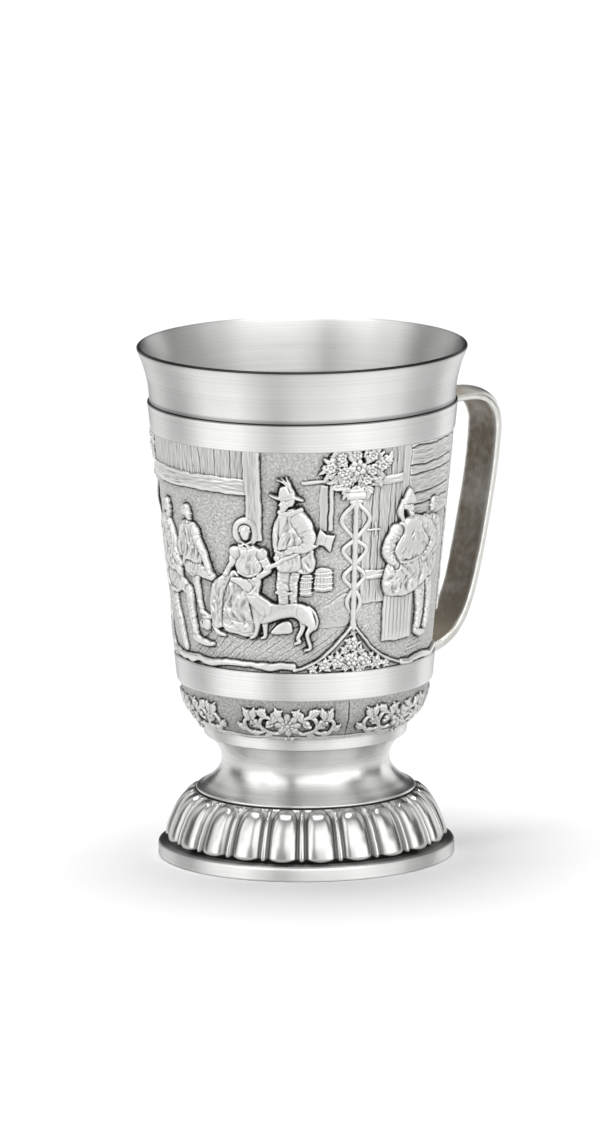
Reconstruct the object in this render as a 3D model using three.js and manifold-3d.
// A footed half-litre pewter tankard with a strap handle, in millimetres, +Z up.
// It is built as a pewterer builds it: turned rings, cast relief segments, a hollow spool and a
// gadrooned foot, each cast or turned by itself, stacked with lapped joints and soldered.
// The handle points along +X and the foot stands on Z = 0.
import * as THREE from "three";
import { mergeVertices } from "three/addons/utils/BufferGeometryUtils.js";
import Module from "manifold-3d";

const wasm = await Module();
wasm.setup();

// ---- Driving dimensions ----
const RIM_RADIUS = 50;
const HEIGHT = 156.5;
const LIP_FOOT_Z = 139.7; // the flared lip stands on the upper band here
const RELIEF_TOP_Z = 131.2;
const RELIEF_FOOT_Z = 62.7;
const FRIEZE_TOP_Z = 54;
const FRIEZE_FOOT_Z = 41;
const SPOOL_TOP_Z = 37.2;
const DOME_TOP_Z = 20.4;
const FOOT_RING_Z = 4;
const FOOT_RADIUS = 45;

const RELIEF_TOP_RADIUS = 45.1;
const RELIEF_FOOT_RADIUS = 38.4;
const BAND_STAND_OUT = 0.9; // how far the turned bands stand proud of the relief ground
const WALL = 1.9;

const FLOOR_RADIUS = 29.4;
const FLOOR_THICKNESS = 2;

const LAP = 1.4; // height of the tongue that each ring lowers into the ring below it
const SOLDER = 0.2; // solder gap beside a tongue
const SEAM = 0.3; // solder gap between two cast segments

const SEGMENTS = 72;
const SEGMENT_COUNT = 3; // cast segments round the body
const SEAM_ANGLE = 9; // degrees from the handle to the first seam

const LOBES = 22;
const LOBE_TURN = -3.1; // degrees that the foot's reeds stand off the handle
const LOBE_DEPTH = 1.5;
const REED_DEPTH = 0.35;

const HANDLE_WIDTH = 13;

// ---- Finishes ----
const brightPewter = new THREE.MeshStandardMaterial({ color: 0xc9cac9, roughness: 0.3, metalness: 1 });
const castPewter = new THREE.MeshStandardMaterial({ color: 0x8f908e, roughness: 0.5, metalness: 1 });
const brushedPewter = new THREE.MeshStandardMaterial({ color: 0xbcbcba, roughness: 0.38, metalness: 1 });
const handlePewter = new THREE.MeshStandardMaterial({ color: 0x7d786e, roughness: 0.55, metalness: 1 });

const tankard = new THREE.Group();

/** Adds one named solid to the tankard. */
function add(name, geometry, material) {
  const mesh = new THREE.Mesh(geometry, material);
  mesh.name = name;
  tankard.add(mesh);
  return mesh;
}

/** A solid of revolution about Z. The profile lists [radius, z], up its outside and down its inside. */
function turn(profile, segments = SEGMENTS) {
  const points = profile.map(([radius, z]) => new THREE.Vector2(radius, z));
  const onAxis = profile[0][0] === 0;
  if (!onAxis) points.push(points[0].clone());
  return new THREE.LatheGeometry(points, segments).rotateX(Math.PI / 2);
}

/** The geometry's solid as a manifold, with its vertices merged. */
function solidOf(geometry) {
  const bare = geometry.index ? geometry.toNonIndexed() : geometry.clone();
  bare.deleteAttribute("normal");
  bare.deleteAttribute("uv");
  const merged = mergeVertices(bare, 1e-4);
  const vertProperties = merged.attributes.position.array;
  const triVerts = new Uint32Array(merged.index.array);
  return new wasm.Manifold(new wasm.Mesh({ numProp: 3, vertProperties, triVerts }));
}

/** A manifold's surface as a BufferGeometry. */
function geometryOf(solid) {
  const { vertProperties, triVerts } = solid.getMesh();
  const geometry = new THREE.BufferGeometry();
  geometry.setAttribute("position", new THREE.BufferAttribute(vertProperties, 3));
  geometry.setIndex(new THREE.BufferAttribute(triVerts, 1));
  return geometry;
}

/** A closed skin over rings of points. The first and last rings are joined, or capped. */
function loft(rings, { capped = false } = {}) {
  const perRing = rings[0].length;
  const positions = rings.flat().flatMap((p) => [p.x, p.y, p.z]);
  const index = [];
  const spans = capped ? rings.length - 1 : rings.length;
  for (let i = 0; i < spans; i++) {
    const near = i * perRing;
    const far = ((i + 1) % rings.length) * perRing;
    for (let k = 0; k < perRing; k++) {
      const next = (k + 1) % perRing;
      index.push(near + k, far + k, far + next, near + k, far + next, near + next);
    }
  }
  if (capped) {
    const last = (rings.length - 1) * perRing;
    for (let k = 1; k < perRing - 1; k++) {
      index.push(0, k, k + 1);
      index.push(last, last + k + 1, last + k);
    }
  }
  const geometry = new THREE.BufferGeometry();
  geometry.setAttribute("position", new THREE.Float32BufferAttribute(positions, 3));
  geometry.setIndex(index);
  return geometry;
}

/** One 120-degree segment of a ring, cut free of its neighbours by the solder seams. */
function segmentOf(ring, number) {
  const first = THREE.MathUtils.degToRad(SEAM_ANGLE + (number * 360) / SEGMENT_COUNT);
  const last = first + (2 * Math.PI) / SEGMENT_COUNT;
  const reach = 4 * RIM_RADIUS;
  const middle = (first + last) / 2;
  const start = new THREE.Vector2(Math.cos(middle), Math.sin(middle)).multiplyScalar(SEAM / Math.sqrt(3));
  const wedge = new THREE.Shape([
    start,
    start.clone().add(new THREE.Vector2(Math.cos(first), Math.sin(first)).multiplyScalar(reach)),
    start.clone().add(new THREE.Vector2(Math.cos(middle), Math.sin(middle)).multiplyScalar(reach)),
    start.clone().add(new THREE.Vector2(Math.cos(last), Math.sin(last)).multiplyScalar(reach)),
  ]);
  const prism = new THREE.ExtrudeGeometry(wedge, { depth: HEIGHT, bevelEnabled: false });
  return geometryOf(solidOf(ring).intersect(solidOf(prism)));
}

/** Radius of the relief ground at a height. */
function reliefRadius(z) {
  return THREE.MathUtils.mapLinear(z, RELIEF_FOOT_Z, RELIEF_TOP_Z, RELIEF_FOOT_RADIUS, RELIEF_TOP_RADIUS);
}

/**
 * A ring of the wall: its outside and inside from the foot up, with a tongue below that lowers into the
 * next ring's socket, and a socket above for the last ring's tongue. A joint is the radius where the
 * tongue meets the socket.
 */
function wallRing({ outside, inside, tongue, socket }) {
  const profile = [...outside];
  const top = outside.at(-1)[1];
  const foot = outside[0][1];
  const insideAt = (z) => {
    const above = inside.findIndex(([, height]) => height >= z);
    const upper = inside[Math.max(above, 1)];
    const lower = inside[Math.max(above, 1) - 1];
    return THREE.MathUtils.mapLinear(z, lower[1], upper[1], lower[0], upper[0]);
  };
  const seat = socket ? top - LAP - SOLDER : top;
  if (socket) profile.push([socket, top], [socket, seat], [insideAt(seat), seat]);
  const between = inside.filter(([, z]) => z > foot && (z < seat || (!socket && z <= top)));
  profile.push(...between.reverse());
  const end = tongue ? foot - LAP : foot;
  profile.push([insideAt(foot), end]);
  if (tongue) profile.push([tongue - SOLDER, end], [tongue - SOLDER, foot]);
  return turn(profile);
}

// ---- The cup, from the rim down ----
const LIP_JOINT = 45.4;
const BAND_JOINT = 44.3;
const LOWER_JOINT = 37.5;
const FRIEZE_JOINT = 36.4;

/** Outside radius of the flared lip: straight at its foot, opening faster towards the rim. */
function lipRadius(z) {
  const rise = (z - LIP_FOOT_Z) / (HEIGHT - LIP_FOOT_Z);
  return 46.3 + (RIM_RADIUS - 46.3) * rise ** 2.1;
}

const lipSteps = [0, 0.2, 0.4, 0.55, 0.7, 0.82, 0.92];
const lipHeights = lipSteps.map((t) => THREE.MathUtils.lerp(LIP_FOOT_Z, HEIGHT, t));
const lipOutside = [
  ...lipHeights.map((z) => [lipRadius(z), z]),
  [RIM_RADIUS, HEIGHT - 0.9],
  [RIM_RADIUS - 0.3, HEIGHT - 0.2],
  [RIM_RADIUS - 0.8, HEIGHT],
];
const lipInside = [
  [lipRadius(LIP_FOOT_Z) - WALL, LIP_FOOT_Z],
  ...lipHeights.slice(1).map((z) => [lipRadius(z) - WALL + 0.3, z]),
  [RIM_RADIUS - 1.4, HEIGHT - 0.4],
];
add("lip_ring", wallRing({ outside: lipOutside, inside: lipInside, tongue: LIP_JOINT }), brightPewter);

const bandTopRadius = 47;
const bandFootRadius = RELIEF_TOP_RADIUS + BAND_STAND_OUT;
const cupInsideTop = lipRadius(LIP_FOOT_Z) - WALL;
const reliefInside = (z) => reliefRadius(z) - WALL;
const upperBand = wallRing({
  outside: [
    [bandFootRadius, RELIEF_TOP_Z],
    [bandTopRadius - 0.1, LIP_FOOT_Z - 0.3],
    [bandTopRadius - 0.4, LIP_FOOT_Z],
  ],
  inside: [
    [reliefInside(RELIEF_TOP_Z), RELIEF_TOP_Z],
    [cupInsideTop, LIP_FOOT_Z],
  ],
  tongue: BAND_JOINT,
  socket: LIP_JOINT,
});
add("upper_band", upperBand, brightPewter);

const reliefRing = wallRing({
  outside: [
    [RELIEF_FOOT_RADIUS, RELIEF_FOOT_Z],
    [RELIEF_TOP_RADIUS, RELIEF_TOP_Z],
  ],
  inside: [
    [reliefInside(RELIEF_FOOT_Z), RELIEF_FOOT_Z],
    [reliefInside(RELIEF_TOP_Z), RELIEF_TOP_Z],
  ],
  tongue: LOWER_JOINT,
  socket: BAND_JOINT,
});

const lowerBandTop = RELIEF_FOOT_RADIUS + BAND_STAND_OUT + 0.2;
const friezeTopRadius = 37.8;
const lowerBand = wallRing({
  outside: [
    [friezeTopRadius + 0.6, FRIEZE_TOP_Z],
    [lowerBandTop, RELIEF_FOOT_Z - 0.3],
    [lowerBandTop - 0.3, RELIEF_FOOT_Z],
  ],
  inside: [
    [friezeTopRadius - 2.4, FRIEZE_TOP_Z],
    [reliefInside(RELIEF_FOOT_Z), RELIEF_FOOT_Z],
  ],
  tongue: FRIEZE_JOINT,
  socket: LOWER_JOINT,
});
add("lower_band", lowerBand, brightPewter);

// The frieze ring is the cup's rounded bottom edge. The floor disc seats in its foot.
const friezeRing = wallRing({
  outside: [
    [31.5, FRIEZE_FOOT_Z],
    [34, 43.7],
    [36.1, 46.8],
    [37.2, 49.9],
    [friezeTopRadius, FRIEZE_TOP_Z],
  ],
  inside: [
    [FLOOR_RADIUS + SOLDER, FRIEZE_FOOT_Z],
    [FLOOR_RADIUS + SOLDER, FRIEZE_FOOT_Z + FLOOR_THICKNESS],
    [32.4, 46],
    [34.6, 50],
    [friezeTopRadius - 2.4, FRIEZE_TOP_Z],
  ],
  socket: FRIEZE_JOINT,
});

for (let i = 0; i < SEGMENT_COUNT; i++) {
  add(`relief_segment_${i + 1}`, segmentOf(reliefRing, i), castPewter);
  add(`frieze_segment_${i + 1}`, segmentOf(friezeRing, i), castPewter);
}

const floorDisc = turn([
  [0, FRIEZE_FOOT_Z],
  [FLOOR_RADIUS, FRIEZE_FOOT_Z],
  [FLOOR_RADIUS, FRIEZE_FOOT_Z + FLOOR_THICKNESS],
  [0, FRIEZE_FOOT_Z + FLOOR_THICKNESS],
]);
add("cup_floor", floorDisc, brushedPewter);

// ---- The stem ----
const SPIGOT_RADIUS = 25.6;
const SPIGOT_TOP_Z = 39.2;
const collarRing = turn([
  [SPIGOT_RADIUS + SOLDER, SPOOL_TOP_Z],
  [30.4, SPOOL_TOP_Z],
  [30.7, SPOOL_TOP_Z + 0.3],
  [31.1, FRIEZE_FOOT_Z - 0.2],
  [30.9, FRIEZE_FOOT_Z],
  [SPIGOT_RADIUS + SOLDER, FRIEZE_FOOT_Z],
]);
add("collar_ring", collarRing, brightPewter);

const SPOOL_JOINT = 31.3;
const spool = turn([
  [SPOOL_JOINT - SOLDER, DOME_TOP_Z - LAP],
  [SPOOL_JOINT - SOLDER, DOME_TOP_Z],
  [32.8, DOME_TOP_Z],
  [32.8, DOME_TOP_Z + 0.6],
  [31.3, 21.9],
  [29, 23.6],
  [27.2, 25.3],
  [26, 27],
  [25.5, 28.9],
  [25.6, 31],
  [26.4, 33.2],
  [27.6, 35],
  [29.4, SPOOL_TOP_Z],
  [SPIGOT_RADIUS, SPOOL_TOP_Z],
  [SPIGOT_RADIUS, SPIGOT_TOP_Z],
  [SPIGOT_RADIUS - 2, SPIGOT_TOP_Z],
  [SPIGOT_RADIUS - 2, 34.4],
  [23.9, 29],
  [25.2, 25.2],
  [27.4, 22.8],
  [SPOOL_JOINT - 1.7, DOME_TOP_Z],
  [SPOOL_JOINT - 1.5, DOME_TOP_Z - LAP],
]);
add("neck_spool", spool, brightPewter);

// ---- The foot ----
/**
 * How deep the dome's surface lies at an angle, from 0 on a lobe's crest. Each of the lobes is a broad
 * crown beside one slim reed, with a groove on each side of the reed.
 */
const lobePattern = [
  [0, LOBE_DEPTH],
  [0.1, REED_DEPTH],
  [0.2, LOBE_DEPTH],
  [0.34, 0.45],
  [0.6, 0],
  [0.86, 0.45],
];

// Each station is [outside radius on a crest, z, share of the lobes' depth], from the foot up.
const domeOutside = [
  [41.4, FOOT_RING_Z, 0],
  [42.4, 5.2, 1],
  [42.2, 8],
  [40.9, 12],
  [39.2, 15.4],
  [37, 18.2],
  [34.4, 19.9, 0.6],
  [33.4, DOME_TOP_Z, 0],
];
const RING_JOINT = 40;
const domeInside = [
  [SPOOL_JOINT, DOME_TOP_Z],
  [SPOOL_JOINT, DOME_TOP_Z - LAP - SOLDER],
  [34, 17],
  [38, 11.6],
  [RING_JOINT, 6.4],
  [RING_JOINT, FOOT_RING_Z],
];

function domeRings() {
  const rings = [];
  const at = (radius, angle, z) => new THREE.Vector3(radius * Math.cos(angle), radius * Math.sin(angle), z);
  for (let lobe = 0; lobe < LOBES; lobe++) {
    for (const [share, depth] of lobePattern) {
      const turned = LOBE_TURN + ((lobe + share - 0.1) * 360) / LOBES;
      const angle = THREE.MathUtils.degToRad(turned);
      rings.push([
        ...domeOutside.map(([radius, z, weight = 1]) => at(radius - depth * weight, angle, z)),
        ...domeInside.map(([radius, z]) => at(radius, angle, z)),
      ]);
    }
  }
  return rings;
}
const dome = loft(domeRings());
add("gadrooned_dome", dome, castPewter);

const footRing = turn([
  [38, 0],
  [FOOT_RADIUS - 0.4, 0],
  [FOOT_RADIUS, 0.4],
  [FOOT_RADIUS, FOOT_RING_Z - 0.4],
  [FOOT_RADIUS - 0.4, FOOT_RING_Z],
  [RING_JOINT - SOLDER, FOOT_RING_Z],
  [RING_JOINT - SOLDER, FOOT_RING_Z + LAP],
  [38.4, FOOT_RING_Z + LAP],
]);
add("foot_ring", footRing, brightPewter);

// ---- The handle ----
// A cast strap with a flat inner face and a crowned back, in the plane through the axis. Each station
// is [inner face's distance from the axis, its z, crown thickness].
const handleStations = [
  [47.1, 131.9, 3.9],
  [56, 132, 3.7],
  [65, 131.9, 3.8],
  [69.6, 130.7, 4.4],
  [72.6, 128, 5],
  [73.9, 124, 5.2],
  [73.6, 118, 5.1],
  [72.4, 110, 5],
  [70.3, 100, 5],
  [67.7, 89.5, 5],
  [64.9, 79.5, 5],
  [62, 71.5, 5],
  [58.6, 65.4, 5],
  [54.4, 61.2, 4.8],
  [48.6, 58.8, 4.6],
  [40, 58.2, 4.4],
];

/** The strap's half section: a flat face and a crown, as [across, outwards] shares of its half width and thickness. */
const strapSection = [
  [-1, 0],
  [-1, 0.32],
  [-0.8, 0.68],
  [-0.42, 0.93],
  [0, 1],
  [0.42, 0.93],
  [0.8, 0.68],
  [1, 0.32],
  [1, 0],
];

function strapRings() {
  const route = handleStations.map(([radius, z]) => new THREE.Vector3(radius, 0, z));
  const curve = new THREE.CatmullRomCurve3(route, false, "centripetal");
  const steps = 3 * (route.length - 1);
  const rings = [];
  for (let i = 0; i <= steps; i++) {
    const t = i / steps;
    const station = t * (route.length - 1);
    const low = Math.min(Math.floor(station), route.length - 2);
    const thickness = THREE.MathUtils.lerp(handleStations[low][2], handleStations[low + 1][2], station - low);
    const middle = curve.getPoint(t);
    const along = curve.getTangent(t);
    const outwards = new THREE.Vector3(-along.z, 0, along.x);
    rings.push(
      strapSection.map(([across, out]) =>
        middle
          .clone()
          .addScaledVector(outwards, out * thickness)
          .add(new THREE.Vector3(0, (across * HANDLE_WIDTH) / 2, 0)),
      ),
    );
  }
  return rings;
}

/** The strap's ends are hollowed to the bands that they are soldered to. */
function seatOn(geometry) {
  const bandBody = solidOf(
    turn([
      [0, FRIEZE_TOP_Z - 3],
      [friezeTopRadius + 0.6 + SEAM, FRIEZE_TOP_Z - 3],
      [friezeTopRadius + 0.6 + SEAM, FRIEZE_TOP_Z],
      [lowerBandTop + SEAM, RELIEF_FOOT_Z],
      [bandFootRadius + SEAM, RELIEF_TOP_Z],
      [bandTopRadius + SEAM, LIP_FOOT_Z],
      [0, LIP_FOOT_Z],
    ]),
  );
  return geometryOf(solidOf(geometry).subtract(bandBody));
}
const strap = seatOn(loft(strapRings(), { capped: true }));
add("handle_strap", strap, handlePewter);

const backReach = Math.max(...strap.attributes.position.array.filter((_, i) => i % 3 === 0));
tankard.position.x = (RIM_RADIUS - backReach) / 2; // puts the origin under the middle of the outline

export default tankard;
